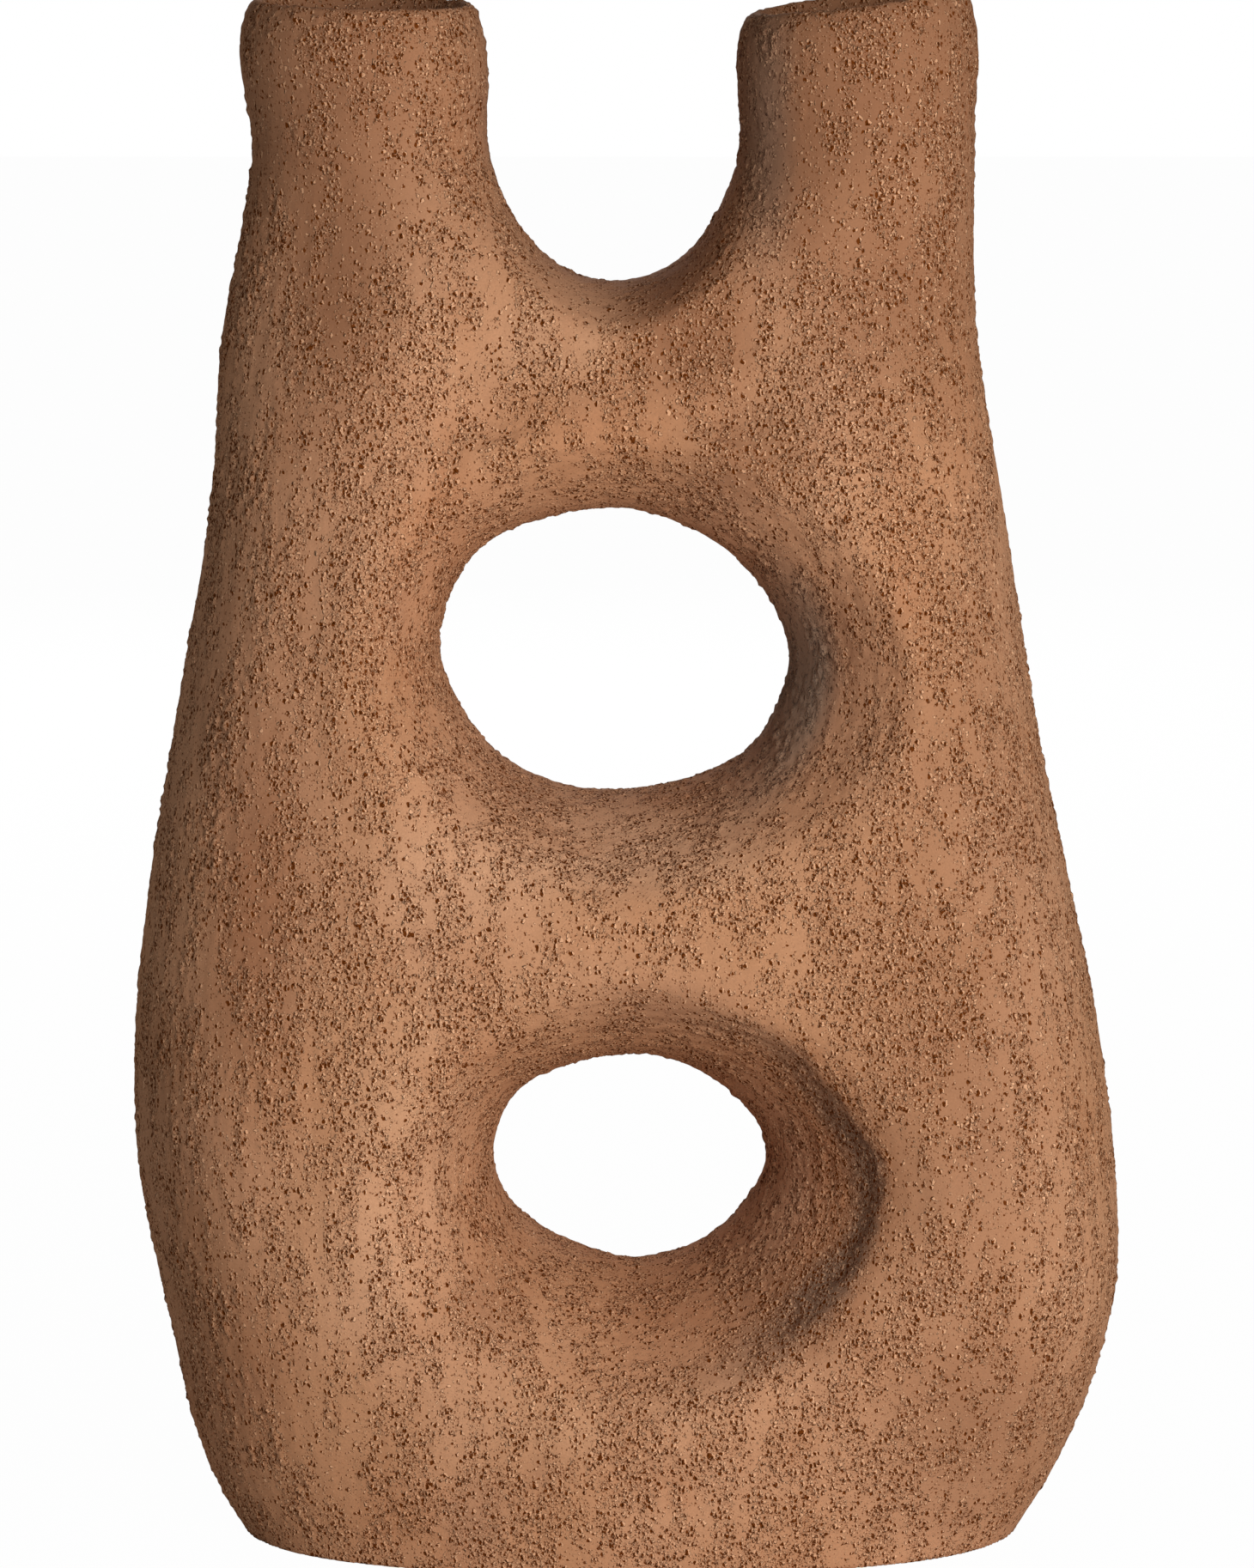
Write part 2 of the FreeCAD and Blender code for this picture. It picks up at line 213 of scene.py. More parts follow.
def wobble(x, y, z, across, along):
    """Noise whose patches are as wide and as tall as given, in mm."""
    return noise.noise((x / across, y / across, z / along))


print("a ramp a quarter of the way up:", ramp(0.25, 0, 1), "and a hump half-way down:", hump(0.5, 0, 1))

# %% [markdown]
# ## The eyes
# Each eye was cut with a knife and its mouth was turned over with a thumb. The knife left the throat a little less
# than round, and the thumb left rings in the flare. The lower eye was pressed into a dish as well: a steep, ragged
# step runs round its right side, with a flatter floor inside it. All of these follow an eye, so they are worked out
# from how far outside the throat's edge a point lies, and from its turn round the eye. One more mark is a repair: the
# packed sections have a shallow trough above the upper eye that the real vase doesn't show, so it is filled here.

# %% Find a place in an eye
class Eye:
    """An eye by the middle and the half sizes of its throat, in mm."""

    def __init__(self, x, z, half_width, half_tall):
        self.x, self.z = x, z
        self.half_width, self.half_tall = half_width, half_tall

    def place(self, x, z):
        """How far a point is outside the throat's edge, in mm, and its turn round the eye from the right."""
        across, up = x - self.x, z - self.z
        ring = math.hypot(across / self.half_width, up / self.half_tall)
        beyond = math.hypot(across, up) * (1 - 1 / max(ring, 0.05))
        return beyond, math.atan2(up / self.half_tall, across / self.half_width)


lower_eye = Eye(0.9, 98.8, 35.4, 28.4)
upper_eye = Eye(-3.3, 231.9, 44.9, 37.7)
print("throats, mm:", [(2 * eye.half_width, 2 * eye.half_tall) for eye in (lower_eye, upper_eye)])


# %% Press the dish of the lower eye
DISH_RIM, DISH_DEPTH = 29, 2.4  # mm outside the throat, and mm deep
LOWER_RING_GAP, LOWER_RING_HEIGHT = 3.8, 0.16  # mm


def dish_place(x, y, z):
    """Where a point lies in the dish: mm beyond the throat, pulled about, how far to the right, and its turn."""
    beyond, turn = lower_eye.place(x, z)
    beyond += 2.8 * wobble(x, y, z, 22, 22) + 1.3 * wobble(x, y, z, 7, 7) + 0.8 * wobble(x, y, z, 2.6, 2.6)
    beyond -= 3.0 * hump(turn, 0.0, 0.8)
    to_right = hump(turn, 0.0, 1.6) * (1 + 0.5 * wobble(x, y + 60, z, 30, 30))
    return beyond, to_right, turn


def lower_dish(x, y, z):
    """The soft edge, steep step and sunken floor of the lower eye, with the thumb rings above it."""
    beyond, to_right, turn = dish_place(x, y, z)
    if not -15 < beyond < 40:
        return 0.0
    edge = 0.6 * hump(beyond, DISH_RIM, 9)
    sunken = -DISH_DEPTH * ramp(beyond, 27.0, 16.5) * ramp(beyond, -2.0, 13.0)
    rings = math.sin(2 * math.pi * beyond / LOWER_RING_GAP + 4 * wobble(x, y, z, 26, 26))
    rings *= LOWER_RING_HEIGHT * (1 + wobble(x + 30, y, z, 14, 8)) * hump(turn, 1.2, 1.2) * hump(beyond, 16, 14)
    return (edge + sunken) * to_right + rings


print("dish:", DISH_DEPTH, "mm deep at most, with its rim", DISH_RIM, "mm outside the throat")


# %% Turn over the upper eye and trim both throats
UPPER_RING_GAP, UPPER_RING_HEIGHT = 5.5, 0.09  # mm
CUT_HALF_TURN = 24  # degrees
UPPER_CUTS = ((338, 1.4), (158, 1.2), (68, 0.7), (270, 0.6), (225, -0.8), (135, -0.3))  # degrees, mm
LOWER_CUTS = ((158, 0.8), (247, 0.9), (68, 0.5), (338, 0.5), (202, -0.5), (22, -0.5))


def upper_rings(x, y, z):
    """The fainter thumb rings of the upper eye."""
    beyond, turn = upper_eye.place(x, z)
    near = hump(beyond, 18, 20) * (0.4 + 0.6 * hump(turn, 0.6, 1.6))
    if not near:
        return 0.0
    rings = math.sin(2 * math.pi * beyond / UPPER_RING_GAP + 3 * wobble(x, y, z, 34, 34))
    return UPPER_RING_HEIGHT * rings * near * (1 + wobble(x, y, z, 12, 12))


def filled_trough(x, z):
    """Above the upper eye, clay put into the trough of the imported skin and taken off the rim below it."""
    near = ramp(abs(x + 4), 46, 24)
    return near * (3.0 * hump(z, 307, 8) - 2.0 * hump(z, 295.5, 7))


def trimmed(eye, x, z, cuts):
    """How far the throat of an eye stands in where the knife cut it less round."""
    beyond, turn = eye.place(x, z)
    near = hump(beyond, 0.0, 13.0)
    if not near:
        return 0.0
    degrees = math.degrees(turn) % 360
    return near * sum(depth * hump(degrees, middle, CUT_HALF_TURN) for middle, depth in cuts)


print("knife cuts:", len(UPPER_CUTS), "in the upper throat and", len(LOWER_CUTS), "in the lower one")

# %% [markdown]
# ## Grit and the whole skin
# Crushed grit stands out of the clay in long upright drifts, because the scraper dragged it, and there is less of it
# where slip was laid on thick. The body also has slow lumps from the palms and upright strokes from the scraper, and
# the necks have level finger lines. Noise gives the drifts and the lumps, and a list of soft patches puts the drifts
# where the real vase has them.

# %% Let the grit drift
Patch = namedtuple("Patch", "x z half_width half_tall strength")  # mm, and the strength at its middle


def patched(patches, x, y, z):
    """How strong a set of soft patches is at a point. The back has them turned left to right."""
    facing_front = ramp(y, 14, -14)
    total = 0.0
    for patch in patches:
        upright = hump(z, patch.z, patch.half_tall)
        if upright:
            front = hump(x, patch.x, patch.half_width)
            back = hump(-x, patch.x, patch.half_width)
            total += patch.strength * upright * (front * facing_front + back * (1 - facing_front))
    return total


ROUGH_PATCHES = (
    Patch(-67, 270, 14, 70, 0.6), Patch(-54, 290, 12, 40, 0.3), Patch(-72, 150, 14, 70, 0.5),
    Patch(66, 158, 30, 50, 0.5), Patch(-28, 200, 20, 20, 0.4), Patch(58, 296, 40, 40, 0.3),
    Patch(0, 22, 90, 24, 0.4), Patch(-11, 326, 18, 14, -0.6), Patch(-15, 157, 22, 16, -0.6),
    Patch(-90, 380, 16, 40, -0.3),
)
GRIT_SIZE = 1.8  # mm


def grit_drift(x, y, z):
    """Where the grit stands out: 0 on smooth slip, 1 in the thick of a drift."""
    uneven = 0.65 * wobble(x + 40, y, z, 11, 42) + 0.95 * wobble(x, y + 90, z, 4.5, 12)
    return ramp(uneven + patched(ROUGH_PATCHES, x, y, z), -0.55, 0.5)

# Where the grit stands out: 0 on smooth clay, 1 in the thick of a drift.

def grit(x, y, z):
    """Coarse lumps of grit that stand out in drifts."""
    return (0.12 + 0.85 * grit_drift(x, y, z)) * max(wobble(x, y, z, GRIT_SIZE, GRIT_SIZE), -0.15)


print("grit:", len(ROUGH_PATCHES), "patches that are rougher or smoother than the rest")


# %% Press the marks into the skin
NECK_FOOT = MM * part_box("left_neck")[0].z
SETTLED = 0.25  # mm that the whole skin stands in, so that the marks stay inside the vase's box


def hand_mark(x, y, z):
    """How far the worked skin stands out from the plain one at a point, in mm."""
    lumps = 0.7 * wobble(x, y, z, 46, 62) + 0.35 * wobble(x, y + 200, z, 19, 24)
    on_neck = ramp(z, NECK_FOOT - 18, NECK_FOOT + 6)
    strokes = (1 - on_neck) * 0.16 * wobble(x, y, z, 3.4, 70)
    lines = on_neck * 0.2 * wobble(x + y * 0.2, y, z, 60, 3.0)
    eyes = lower_dish(x, y, z) + upper_rings(x, y, z) + filled_trough(x, z)
    eyes += trimmed(upper_eye, x, z, UPPER_CUTS) + trimmed(lower_eye, x, z, LOWER_CUTS)
    return lumps + strokes + lines + eyes + grit(x, y, z) - SETTLED


for vert in clay.verts:
    x, y, z = (MM * value for value in vert.co)
    depth = hand_mark(x, y, z) * ramp(z, 0.3, 9.0)
    vert.co += vert.normal * (depth / MM)
    if z < 0.5:
        vert.co.z = 0.0
    for axis in range(3):
        vert.co[axis] = min(max(vert.co[axis], cad_box[0][axis]), cad_box[1][axis])
clay.normal_update()
skin_normal = clay.verts.layers.float_vector.new("skin_normal")
for vert in clay.verts:
    vert[skin_normal] = vert.normal
print("marked skin:", len(clay.verts), "points")

# %% [markdown]
# ## Fire marks and painted shade
# The kiln and the potter's hands left slow changes of tone: orange flashes where the flame touched the clay, clouds of
# plum brown, some darker brown, and pale slip where the brush was full. Painted shade and light are laid on the same
# way: plum on the shaded side of the lower throat, down the left side and on a neck; a darker brown at the notch, on
# the shaded edges of the necks and towards their lips, on the right side and down the left side; a dark band along the
# step of the dish, which faces away from the lamp; grey on the right side of the upper eye, with traces in the lower
# eye and on a neck; and painted light on a pale patch under the upper eye. A soft patch like this has no edge that a
# texture could repeat, so it is painted on the points of the mesh and carried to the finish as an attribute. The
# drifts of grit are painted in the same way, so that the grains in the finish lie where the grit stands out.

# %% Lay out the fire marks and the painted shade
FLASHES = (
    Patch(-47, 262, 22, 52, 0.5), Patch(-95, 172, 17, 85, 0.8), Patch(-34, 100, 18, 50, 0.3),
    Patch(-62, 392, 14, 30, 0.6), Patch(70, 262, 12, 30, 0.4), Patch(-14, 297, 30, 18, 0.5),
    Patch(19, 322, 20, 28, 0.7), Patch(-96, 52, 20, 40, 0.5), Patch(46, 98, 22, 42, 0.6),
    Patch(85, 300, 12, 40, 0.4), Patch(10, 60, 40, 22, 0.5),
)
# Plum patches, most of them painted shade: down the left side and on the shaded edge of the right neck.
PLUM_AND_SHADE_MARKS = (
    Patch(-94, 182, 20, 75, 0.4), Patch(10, 150, 34, 14, 0.4), Patch(60, 385, 22, 40, 0.5),
)
# Darker brown patches, most of them painted shade: at the notch, on the shaded edges of the necks and down the right
# side.
DUSK_AND_SHADE_MARKS = (
    Patch(14, 317, 26, 28, 0.9), Patch(30, 286, 26, 18, 0.8), Patch(84, 130, 46, 150, 0.6),
    Patch(42, 68, 24, 18, 0.8), Patch(70, 318, 48, 44, 0.7), Patch(48, 388, 18, 40, 0.5),
    Patch(-72, 322, 24, 50, 0.5), Patch(-38, 68, 16, 16, 0.4), Patch(88, 240, 30, 60, 0.35),
    Patch(90, 36, 40, 40, 0.5), Patch(42, 368, 14, 50, 0.6), Patch(56, 238, 11, 26, 0.45),
)
# Pale slip patches; the strongest, under the upper eye, is painted light.
PALE_AND_LIT_MARKS = (
    Patch(-56, 114, 26, 46, 0.45), Patch(-48, 183, 28, 18, 0.35), Patch(-17, 315, 20, 16, 0.4),
    Patch(-8, 40, 50, 18, 0.3), Patch(-12, 60, 34, 12, 0.25), Patch(0, 187, 48, 13, 1.0),
    Patch(-64, 78, 26, 30, 0.25),
)
# Painted grey shade on the shaded edge of the right neck.
GREY_SHADE_MARKS = (Patch(35, 372, 10, 50, 0.5),)
print("fire marks:", len(FLASHES), "flashes,", len(PLUM_AND_SHADE_MARKS), "plum,", len(DUSK_AND_SHADE_MARKS), "dusky,",
      len(PALE_AND_LIT_MARKS), "pale and", len(GREY_SHADE_MARKS), "greyed_shade")


# %% Paint the fire marks and the painted shade
DISH_STEP = 21.5  # mm outside the throat


def shaded_side(x, z):
    """The left side is darker in the photograph: 1 in the middle of that band and 0 outside it."""
    middle = -108 + 24 * ramp(z, 125, 180) + 12 * ramp(z, 250, 400)
    return hump(x, middle, 30)


def shaded_neck_tops(x, z):
    """Painted shade: the necks grow darker towards the lips, the right one more."""
    return (0.95 if x > 0 else 0.6) * ramp(z, 300, 380)


def greyed_shade(x, y, z):
    """Painted grey shade on the right side of the upper eye, a trace of it in the lower one and on a neck."""
    most = patched(GREY_SHADE_MARKS, x, y, z)
    for eye, strength in ((lower_eye, 0.2), (upper_eye, 1.0)):
        beyond, turn = eye.place(x, z)
        most = max(most, strength * ramp(beyond, 15.0, 7.0) * hump(turn, -0.15, 1.1))
    return most


def shaded_step(beyond, turn):
    """Painted shade along the step of the dish, in a band that is widest at its lower right."""
    return 0.75 * min(1.3 * hump(beyond, DISH_STEP, 6.0 + 3.0 * hump(turn, -0.8, 0.8)), 1.0)


MASKS = ("flash", "plum_and_shade", "dusk_and_shade", "step_shade", "grey_shade", "slip_and_light", "drift")
flash, plum_and_shade, dusk_and_shade, step_shade, grey_shade, slip_and_light, drift = [clay.verts.layers.float.new(name) for name in MASKS]
for vert in clay.verts:
    x, y, z = (MM * value for value in vert.co)
    beyond, to_right, turn = dish_place(x, y, z)
    to_right = min(to_right, 1.0)
    in_dish = min(1.2 * hump(beyond, 16, 19), 1.0) * 0.85 * to_right
    vert[flash] = max(patched(FLASHES, x, y, z), in_dish)
    # partly painted shade: plum on the shaded side of the lower throat
    vert[plum_and_shade] = max(patched(PLUM_AND_SHADE_MARKS, x, y, z), 0.45 * hump(beyond, 8, 12) * to_right)
    # mostly painted shade: darker brown at the notch, on the necks, towards their lips and down the left side
    vert[dusk_and_shade] = patched(DUSK_AND_SHADE_MARKS, x, y, z) + shaded_neck_tops(x, z) + 0.4 * shaded_side(x, z)
    # painted shade: a dark band along the step of the dish, which faces away from the lamp
    vert[step_shade] = shaded_step(beyond, turn) * to_right
    # painted shade in grey, in the eyes and on a neck
    vert[grey_shade] = greyed_shade(x, y, z)
    # partly painted light: the pale patch under the upper eye
    vert[slip_and_light] = patched(PALE_AND_LIT_MARKS, x, y, z)
    vert[drift] = max(grit_drift(x, y, z), hump(beyond, 17.0, 15.0) * to_right)
print("painted masks:", ", ".join(MASKS))

# %% [markdown]
# ## Back into sections
# The worked skin is cut again at the heights of the luted joints, from the top down, so that each piece stands for
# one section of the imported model. The cut pieces keep the normals of the whole skin, which is what stops a line of
# shading from showing where two of them meet. Inside, each piece gets the plain inner skin of its section, and flat
# rings of clay close the joints.

# %% Cut the skin at the luted joints
LEVELS = [("base_slab",), ("foot_wall",), ("lower_cradle",), ("lower_arch",), ("upper_cradle",), ("upper_arch",),
          ("saddle",), ("left_neck", "right_neck"), ("left_lip", "right_lip")]


def cut(mesh, height, keep_above):
    """Cuts a mesh level at a height and keeps one side."""
    everything = list(mesh.verts) + list(mesh.edges) + list(mesh.faces)
    bmesh.ops.bisect_plane(mesh, geom=everything, dist=1e-8, plane_co=(0, 0, height), plane_no=(0, 0, 1),
                           clear_inner=keep_above, clear_outer=not keep_above)


slices = {}
for names in reversed(LEVELS):
    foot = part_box(names[0])[0].z
    if foot < SEAM_TOLERANCE:
        slices[names] = clay
        break
    slices[names] = clay.copy()
    cut(slices[names], foot, keep_above=True)
    cut(clay, foot, keep_above=False)
print("slices:", {names[0]: len(piece.faces) for names, piece in slices.items()})


# %% Take a section out of its slice and close it
def keep_faces(mesh, keep):
    """Deletes all the faces of a mesh but these."""
    keep = set(keep)
    bmesh.ops.delete(mesh, geom=[face for face in mesh.faces if face not in keep], context="FACES")


def outer_piece(slice_mesh, names, name):
    """The worked skin of one section, out of its slice."""
    piece = slice_mesh.copy()
    parts = skins(piece)
    if len(names) == 2:
        to_left = name.startswith("left")
        parts = [part for part in parts if (part[0].calc_center_median().x < 0) == to_left]
        keep_faces(piece, [face for part in parts for face in part])
    else:
        keep_faces(piece, parts[0])
    return piece


def add_inner_skin(piece, name):
    """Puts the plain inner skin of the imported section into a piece."""
    section = clay_copy(name)
    open_seams(section, name)
    keep_faces(section, [face for skin in skins(section)[1:] for face in skin])
    spare = bpy.data.meshes.new("inner_skin")
    section.to_mesh(spare)
    section.free()
    piece.from_mesh(spare)
    bpy.data.meshes.remove(spare)


def close_joints(piece):
    """Closes a piece with flat faces of clay at its luted joints."""
    rims = [edge for edge in piece.edges if edge.is_boundary]
    middle = sum(vert.co.z for vert in piece.verts) / len(piece.verts)
    for facing in (-1, 1):
        level = [edge for edge in rims if (edge.verts[0].co.z - middle) * facing > 0]
        bmesh.ops.triangle_fill(piece, edges=level, use_beauty=True, normal=(0, 0, facing))


# %% Make the pieces
def shade_as_one(mesh):
    """Gives a piece the normals of the whole skin, and its inside its own."""
    carried = mesh.attributes["skin_normal"].data
    normals = [(0.0, 0.0, 0.0)] * len(mesh.loops)
    for polygon in mesh.polygons:
        polygon.use_smooth = True
        for index in polygon.loop_indices:
            whole = carried[mesh.loops[index].vertex_index].vector
            if whole.length > 0.5 and whole.dot(polygon.normal) > 0.2:
                normals[index] = tuple(whole.normalized())
    mesh.normals_split_custom_set(normals)
    mesh.attributes.remove(mesh.attributes["skin_normal"])


pieces = {}
for names, slice_mesh in slices.items():
    for name in names:
        piece = outer_piece(slice_mesh, names, name)
        if name in SOLID[1:] + ("saddle",):
            add_inner_skin(piece, name)
        close_joints(piece)
        mesh = bpy.data.meshes.new(name + "_clay")
        piece.to_mesh(mesh)
        loose = sum(edge.is_boundary for edge in piece.edges)
        piece.free()
        shade_as_one(mesh)
        pieces[name] = bpy.data.objects.new(name + "_clay", mesh)
        scene.collection.objects.link(pieces[name])
        triangles = sum(len(polygon.vertices) - 2 for polygon in mesh.polygons)
        print(f"{name}: {triangles} triangles, {loose} open edges")
    slice_mesh.free()

# %% [markdown]
# ## Grains of grit
# Crushed grit stands out of a thin smooth slip in drifts. Each grain gets a painted shadow on its side away from the
# lamp and a painted highlight on its crown, on the side towards the lamp. The grains are finer than the mesh, so they
# are a bump in the material: dots in the cells of a Voronoi texture whose space is pulled about a little, of which a
# drift decides how many count. The dots give the painted shadows; read a little to one side, the same dots give the
# raised crown beside each shadow. Coarse and fine grains differ only in size, so one group of nodes makes both.

# %% Node helpers
def plug(tree, socket, value):
    """Links another node's output into a socket, or sets a plain value there."""
    if isinstance(value, bpy.types.NodeSocket):
        tree.links.new(value, socket)
    else:
        socket.default_value = value


def add(tree, kind, settings=None, **inputs):
    """Adds a node, with its settings and the values of its inputs."""
    made = tree.nodes.new(kind)
    for key, value in (settings or {}).items():
        setattr(made, key, value)
    for key, value in inputs.items():
        plug(tree, made.inputs[key.replace("_", " ")], value)
    return made


def math_of(tree, operation, first, second, clamp=False):
    """A Math node on two values."""
    made = add(tree, "ShaderNodeMath", {"operation": operation, "use_clamp": clamp})
    plug(tree, made.inputs[0], first)
    plug(tree, made.inputs[1], second)
    return made.outputs[0]


def stretch(tree, value, low, high, to_low=0.0, to_high=1.0):
    """Spreads the range from low to high smoothly over to_low to to_high."""
    made = add(tree, "ShaderNodeMapRange", {"interpolation_type": "SMOOTHSTEP"}, Value=value,
               From_Min=low, From_Max=high, To_Min=to_low, To_Max=to_high)
    return made.outputs["Result"]


def mixed(tree, factor, first, second, blend="MIX"):
    """A colour between two others."""
    made = add(tree, "ShaderNodeMix", {"data_type": "RGBA", "blend_type": blend})
    for index, value in ((0, factor), (6, first), (7, second)):
        plug(tree, made.inputs[index], value)
    return made.outputs[2]


# %% Build the grain group
PULL = (1.2, 1.2, 1.2)  # how far the cells are pulled about, in grain widths
TO_THE_LIGHT = (-0.45, 0.05, -0.1)  # from a grain's painted shadow to its crown, in grain widths

grain = bpy.data.node_groups.new("grit_grains", "ShaderNodeTree")
for label, kind in (("Place", "Vector"), ("Grains per metre", "Float"), ("Cover", "Float")):
    grain.interface.new_socket(label, in_out="INPUT", socket_type="NodeSocket" + kind)
for label in ("Height", "Shadow", "Highlight"):
    grain.interface.new_socket(label, in_out="OUTPUT", socket_type="NodeSocketFloat")
entry = grain.nodes.new("NodeGroupInput")
leave = grain.nodes.new("NodeGroupOutput")
per_metre = entry.outputs["Grains per metre"]
ragged = add(grain, "ShaderNodeTexNoise", None, Vector=entry.outputs["Place"], Scale=per_metre, Detail=1.0)
spaced = add(grain, "ShaderNodeVectorMath", {"operation": "SCALE"}, Scale=per_metre)
grain.links.new(entry.outputs["Place"], spaced.inputs[0])
pulled = add(grain, "ShaderNodeVectorMath", {"operation": "MULTIPLY_ADD"})
for socket, value in zip(pulled.inputs, (ragged.outputs["Color"], PULL, spaced.outputs[0])):
    plug(grain, socket, value)


def dots_beside(shift):
    """The dots as they lie a shift away, in grain widths: 1 on a dot and 0 between the dots."""
    moved = add(grain, "ShaderNodeMapping", {"vector_type": "POINT"}, Vector=pulled.outputs[0], Location=shift)
    cells = add(grain, "ShaderNodeTexVoronoi", None, Vector=moved.outputs[0], Scale=1.0)
    luck = add(grain, "ShaderNodeSeparateColor", None, Color=cells.outputs["Color"])
    counted = stretch(grain, math_of(grain, "SUBTRACT", entry.outputs["Cover"], luck.outputs["Red"]), 0.0, 0.06)
    smallness = stretch(grain, luck.outputs["Green"], 0.0, 1.0, 0.85, 1.4)
    away = math_of(grain, "MULTIPLY", cells.outputs["Distance"], smallness)
    return math_of(grain, "MULTIPLY", stretch(grain, away, 0.48, 0.36), counted)


# The dots give each grain's painted shadow, on its side away from the lamp; moved towards the lamp, they give the
# raised crown and its painted highlight.
shadow_dots = dots_beside((0.0, 0.0, 0.0))
crown = dots_beside(TO_THE_LIGHT)
past_shadow = math_of(grain, "SUBTRACT", 1.0, shadow_dots)
grain.links.new(crown, leave.inputs["Height"])
grain.links.new(shadow_dots, leave.inputs["Shadow"])
grain.links.new(math_of(grain, "MULTIPLY", crown, past_shadow), leave.inputs["Highlight"])
print("grain group:", len(grain.nodes), "nodes")

# %% [markdown]
# ## The clay
# Unglazed stoneware is matt, and its colour drifts from tan to orange and to a plum brown. The painted masks lay one
# tone over the other, some of them painted shade or light, and clouds of noise break the flashes and the plum up. Then
# come a dust of dark clay, the painted shadows beside the grains and the painted highlights on their crowns, which are
# paler than the tone they lie on. The painted grey shade is last, so it lies over everything. The same grains, the
# strokes of the brush and the dust make the relief.

# %% Lay the tones over each other
TAN, WARM_TAN = (0.508, 0.249, 0.127, 1), (0.560, 0.285, 0.155, 1)
# Among these, the pale slip colour is partly painted light, the plum partly and the darker brown mostly painted shade,
# and the dark grey-brown is painted shade along the step of the dish.
SLIP_AND_LIGHT, FLASH, PLUM_AND_SHADE = (0.71, 0.405, 0.240, 1), (0.425, 0.175, 0.078, 1), (0.305, 0.146, 0.086, 1)
DUSK_AND_SHADE, STEP_SHADE = (0.275, 0.121, 0.060, 1), (0.165, 0.120, 0.088, 1)
CLOUD_STRENGTH = 0.36

clay_finish = bpy.data.materials.new("stoneware")
clay_finish.use_nodes = True
tree = clay_finish.node_tree
shader = tree.nodes["Principled BSDF"]
place = add(tree, "ShaderNodeTexCoord").outputs["Object"]


def painted(name, strength):
    """A mask that was painted on the points of the mesh, held to 0 to 1, at a strength."""
    mask = add(tree, "ShaderNodeAttribute", {"attribute_name": name}).outputs["Fac"]
    return math_of(tree, "MULTIPLY", math_of(tree, "ADD", mask, 0.0, clamp=True), strength)


def clouds(scale, detail=2.0, squash=(1.0, 1.0, 1.0), shift=(0.0, 0.0, 0.0)):
    """Noise of a scale per metre, with its space squashed along the axes."""
    turned = add(tree, "ShaderNodeMapping", {"vector_type": "POINT"}, Vector=place, Scale=squash, Location=shift)
    return add(tree, "ShaderNodeTexNoise", None, Vector=turned.outputs[0], Scale=scale, Detail=detail).outputs[0]


def clouded(mask, cloud, low, high):
    """A mask with soft clouds of the same tone added to it."""
    return math_of(tree, "ADD", mask, stretch(tree, cloud, low, high, 0.0, CLOUD_STRENGTH), clamp=True)


wide = clouds(17.0, 3.0, squash=(1.0, 1.0, 0.6))
flame = clouds(45.0, 3.0, squash=(1.0, 1.0, 0.7), shift=(3.1, 0.0, 0.0))
smoke = clouds(30.0, 3.0, shift=(0.0, 5.2, 1.0))
tone = mixed(tree, stretch(tree, wide, 0.36, 0.64), TAN, WARM_TAN)
# The pale patch under the upper eye is painted light; the plum, the darker brown and the band along the step lay
# painted shade.
tone = mixed(tree, painted("slip_and_light", 0.8), tone, SLIP_AND_LIGHT)
tone = mixed(tree, clouded(painted("flash", 0.8), flame, 0.5, 0.75), tone, FLASH)
tone = mixed(tree, clouded(painted("plum_and_shade", 0.8), smoke, 0.56, 0.78), tone, PLUM_AND_SHADE)
tone = mixed(tree, painted("dusk_and_shade", 0.9), tone, DUSK_AND_SHADE)
tone = mixed(tree, painted("step_shade", 0.95), tone, STEP_SHADE)
print("tones:", len(tree.nodes), "nodes")

# %% Set the grains in the slip
# Painted shadow and highlight of the grains: a dark brown away from the lamp and a pale tan towards it.
DUST, SHADOW_BROWN = (0.24, 0.115, 0.06, 1), (0.135, 0.033, 0.005, 1)
HIGHLIGHT_LIFT, HIGHLIGHT_TAN = (1.6, 1.75, 1.9, 1), (0.86, 0.48, 0.27, 1)  # a painted highlight is between its own tone, lifted, and a pale tan
# Painted grey shade, in the eyes and on a neck.
GREY_SHADE = (0.230, 0.172, 0.128, 1)
COARSE, FINE = 950.0, 1600.0  # grains per metre
UPRIGHT = (1.0, 1.0, 0.72)  # the scraper drew the coarse grains out a little

cover = stretch(tree, painted("drift", 1.0), 0.0, 1.0, 0.25, 1.0)
tall = add(tree, "ShaderNodeMapping", {"vector_type": "POINT"}, Vector=place, Scale=UPRIGHT).outputs[0]
coarse = add(tree, "ShaderNodeGroup", {"node_tree": grain}, Place=tall, Grains_per_metre=COARSE, Cover=cover)
fine = add(tree, "ShaderNodeGroup", {"node_tree": grain}, Place=place, Grains_per_metre=FINE, Cover=cover)
powder = clouds(1900.0)


def fainter(side, strength):
    """One side of the fine grains, at a strength."""
    return math_of(tree, "MULTIPLY", fine.outputs[side], strength)


# Painted shadows beside the grains and painted highlights on their crowns.
painted_shadow = math_of(tree, "MAXIMUM", coarse.outputs["Shadow"], fainter("Shadow", 0.7))
pale = math_of(tree, "MAXIMUM", math_of(tree, "MULTIPLY", coarse.outputs["Highlight"], 0.75), fainter("Highlight", 0.45))
tone = mixed(tree, stretch(tree, powder, 0.3, 0.7, 0.0, 0.2), tone, DUST)
highlight_tone = mixed(tree, 0.6, mixed(tree, 1.0, tone, HIGHLIGHT_LIFT, "MULTIPLY"), HIGHLIGHT_TAN)
tone = mixed(tree, painted_shadow, tone, SHADOW_BROWN)
tone = mixed(tree, pale, tone, highlight_tone)
# painted grey shade, laid over everything
tone = mixed(tree, painted("grey_shade", 0.8), tone, GREY_SHADE)
print("tones and grains:", len(tree.nodes), "nodes")

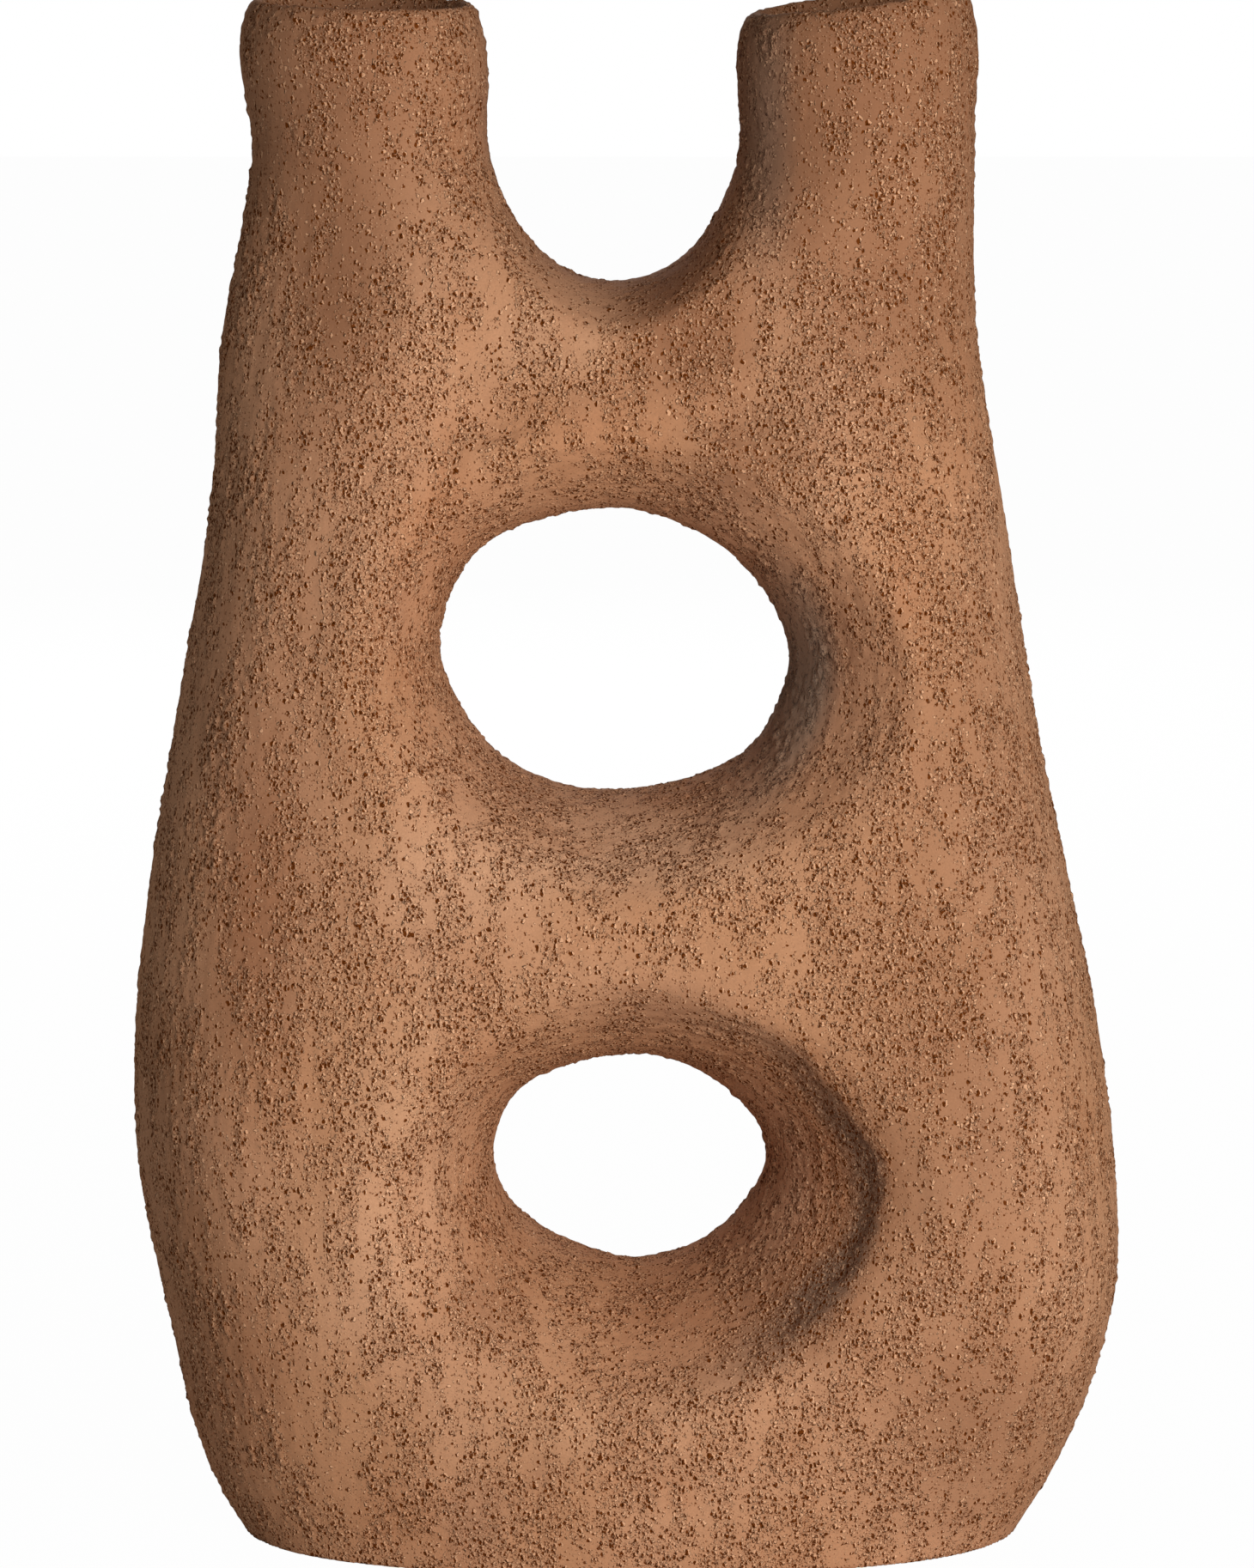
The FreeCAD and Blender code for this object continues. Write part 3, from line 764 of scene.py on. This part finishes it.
# %% Raise the grains and put the clay on the pieces
RELIEF = 0.001  # metres that a height of 1 stands out

strokes = clouds(420.0, squash=(1.0, 1.0, 0.05))
height = math_of(tree, "MULTIPLY", coarse.outputs["Height"], 0.8)
for part, share in ((fine.outputs["Height"], 0.15), (strokes, 0.12), (powder, 0.08)):
    height = math_of(tree, "ADD", height, math_of(tree, "MULTIPLY", part, share))
bump = add(tree, "ShaderNodeBump", None, Strength=1.0, Distance=RELIEF, Height=height)
tree.links.new(tone, shader.inputs["Base Color"])
tree.links.new(bump.outputs["Normal"], shader.inputs["Normal"])
tree.links.new(stretch(tree, powder, 0.3, 0.7, 0.84, 0.96), shader.inputs["Roughness"])
shader.inputs["Specular IOR Level"].default_value = 0.01

for name, piece in pieces.items():
    piece.data.materials.clear()
    piece.data.materials.append(clay_finish)
    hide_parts(name)
    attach(piece, "root")
print("clay:", len(tree.nodes), "nodes on", len(pieces), "pieces")

# %% [markdown]
# ## Floor and light
# The vase stands on a pale floor in front of white. One large soft lamp, low and to the right of the camera, lights
# the front and leaves the left side in shade. A weaker one stands behind the vase, where it shows from the back only,
# and a dim even sky fills the shade. What the camera sees of the floor and the sky is white by itself, so the lamps
# can stay at a plain level, and the floor keeps a trace of the vase's shadow.

# %% Lay the floor
FLOOR_GLOW = 0.98  # the share of the floor that is plain white to the camera
FLOOR_HALF = 4.0  # metres from its middle to its edge


def looked_at(tree):
    """1 where a ray comes from the camera, straight or by gloss or glass, and 0 where it only carries light."""
    path = add(tree, "ShaderNodeLightPath")
    direct = math_of(tree, "MAXIMUM", path.outputs["Is Camera Ray"], path.outputs["Is Glossy Ray"])
    return math_of(tree, "MAXIMUM", direct, path.outputs["Is Transmission Ray"])


def either(tree, factor, first, second):
    """A shader between two others."""
    both = add(tree, "ShaderNodeMixShader", None, Fac=factor)
    tree.links.new(first.outputs[0], both.inputs[1])
    tree.links.new(second.outputs[0], both.inputs[2])
    return both.outputs[0]


floor_mesh = bpy.data.meshes.new("floor")
floor_shape = bmesh.new()
bmesh.ops.create_grid(floor_shape, x_segments=1, y_segments=1, size=FLOOR_HALF)
floor_shape.to_mesh(floor_mesh)
floor_shape.free()
floor = bpy.data.objects.new("floor", floor_mesh)
scene.collection.objects.link(floor)

floor_finish = bpy.data.materials.new("pale_floor")
floor_finish.use_nodes = True
tree = floor_finish.node_tree
tree.nodes.clear()
paint = add(tree, "ShaderNodeBsdfDiffuse", None, Color=(0.8, 0.8, 0.8, 1))
glow = add(tree, "ShaderNodeEmission", None, Color=(1, 1, 1, 1), Strength=1.0)
seen = math_of(tree, "MULTIPLY", looked_at(tree), FLOOR_GLOW)
add(tree, "ShaderNodeOutputMaterial", None, Surface=either(tree, seen, paint, glow))
floor_mesh.materials.append(floor_finish)
print("floor:", 2 * FLOOR_HALF, "m square")


# %% Hang the lamps
def lamp(name, turn, rise, distance, size, watts):
    """A square soft lamp that looks at the middle of the vase, turned to the right of the camera."""
    data = bpy.data.lights.new(name, "AREA")
    data.size = size
    data.energy = watts
    made = bpy.data.objects.new(name, data)
    middle = Vector((0, 0, 0.2))
    angle = math.radians(turn)
    up = math.radians(rise)
    direction = Vector((math.sin(angle) * math.cos(up), -math.cos(angle) * math.cos(up), math.sin(up)))
    made.location = middle + direction * distance
    made.rotation_euler = direction.to_track_quat("Z", "Y").to_euler()
    scene.collection.objects.link(made)


lamp("key", turn=26, rise=12, distance=1.6, size=0.7, watts=22)
lamp("back", turn=184, rise=16, distance=1.6, size=0.7, watts=10)

# %% Fill the shade with an even sky
scene.view_settings.view_transform = "Standard"
world = bpy.data.worlds.new("studio")
scene.world = world
world.use_nodes = True
tree = world.node_tree
tree.nodes.clear()
fill = add(tree, "ShaderNodeBackground", None, Color=(1, 1, 1, 1), Strength=0.17)
white = add(tree, "ShaderNodeBackground", None, Color=(1, 1, 1, 1), Strength=1.0)
add(tree, "ShaderNodeOutputWorld", None, Surface=either(tree, looked_at(tree), fill, white))
print("sky:", round(fill.inputs["Strength"].default_value, 2), "as light and plain white to the camera")
